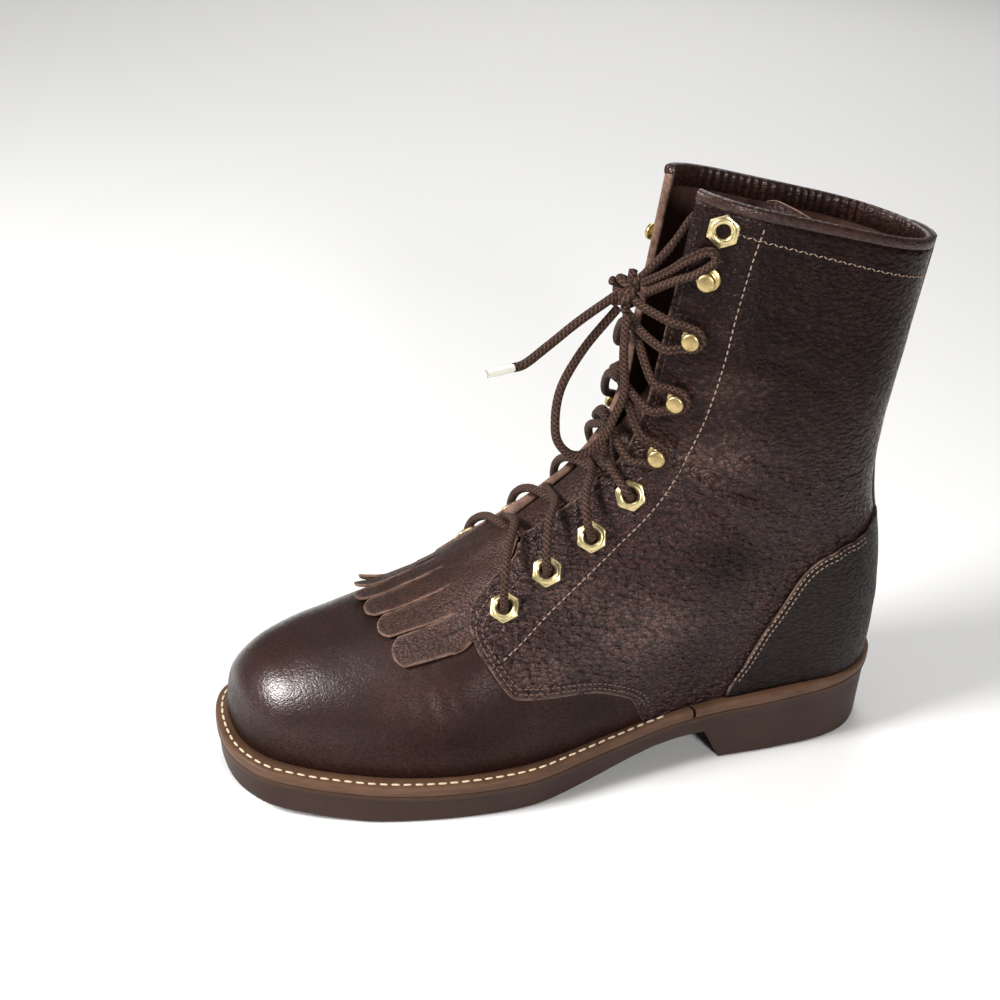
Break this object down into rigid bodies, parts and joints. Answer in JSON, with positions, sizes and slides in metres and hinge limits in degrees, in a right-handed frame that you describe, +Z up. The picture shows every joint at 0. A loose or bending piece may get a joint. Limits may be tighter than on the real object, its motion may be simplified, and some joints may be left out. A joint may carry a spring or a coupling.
{
  "type": "lace-up western boot",
  "caption": "Ankle-high lace-up western boot with fringed kiltie, hex eyelets, speed hooks, stitched welt and low rubber heel",
  "frame": {"origin": "centre of the heel's flat resting face, on the floor plane", "axes": "+Z up, toe towards -X, heel towards +X, outer side towards -Y, inner side towards +Y"},
  "size_m": [0.305, 0.1118, 0.2609],
  "materials": {
    "outsole_rubber": "matt moulded brown rubber",
    "welt_leather": "tan welt, waxed edge",
    "insole_leather": "worn tan sock leather",
    "upper_leather": "oiled pebbled brown leather, semi-gloss",
    "counter_leather": "near-black oiled leather",
    "tongue_leather": "soft split leather, matt",
    "kiltie_leather": "oiled brown leather with raw tan edges",
    "brass": "polished, lightly worn",
    "lace_cord": "round braided lace",
    "aglet_plastic": "clear lace tip"
  },
  "bodies": {
    "root": {"outsole": "outsole_rubber", "welt": "welt_leather", "heel_rand": "welt_leather", "insole": "insole_leather", "upper": "upper_leather", "counter": "counter_leather", "backstay": "upper_leather", "collar_binding": "upper_leather", "tongue": "tongue_leather", "kiltie": "kiltie_leather", "eyelet_outer_1": "brass", "eyelet_outer_2": "brass", "eyelet_outer_3": "brass", "eyelet_outer_4": "brass", "eyelet_outer_5": "brass", "eyelet_inner_1": "brass", "eyelet_inner_2": "brass", "eyelet_inner_3": "brass", "eyelet_inner_4": "brass", "eyelet_inner_5": "brass", "hook_outer_1": "brass", "hook_outer_2": "brass", "hook_outer_3": "brass", "hook_outer_4": "brass", "hook_inner_1": "brass", "hook_inner_2": "brass", "hook_inner_3": "brass", "hook_inner_4": "brass", "lace_cross_1": "lace_cord", "lace_cross_2": "lace_cord", "lace_cross_3": "lace_cord", "lace_cross_4": "lace_cord", "lace_knot": "lace_cord", "lace_loop_long": "lace_cord", "lace_loop_short": "lace_cord", "lace_end_long": "lace_cord", "lace_end_short": "lace_cord", "aglet": "aglet_plastic"}
  },
  "joints": []
}
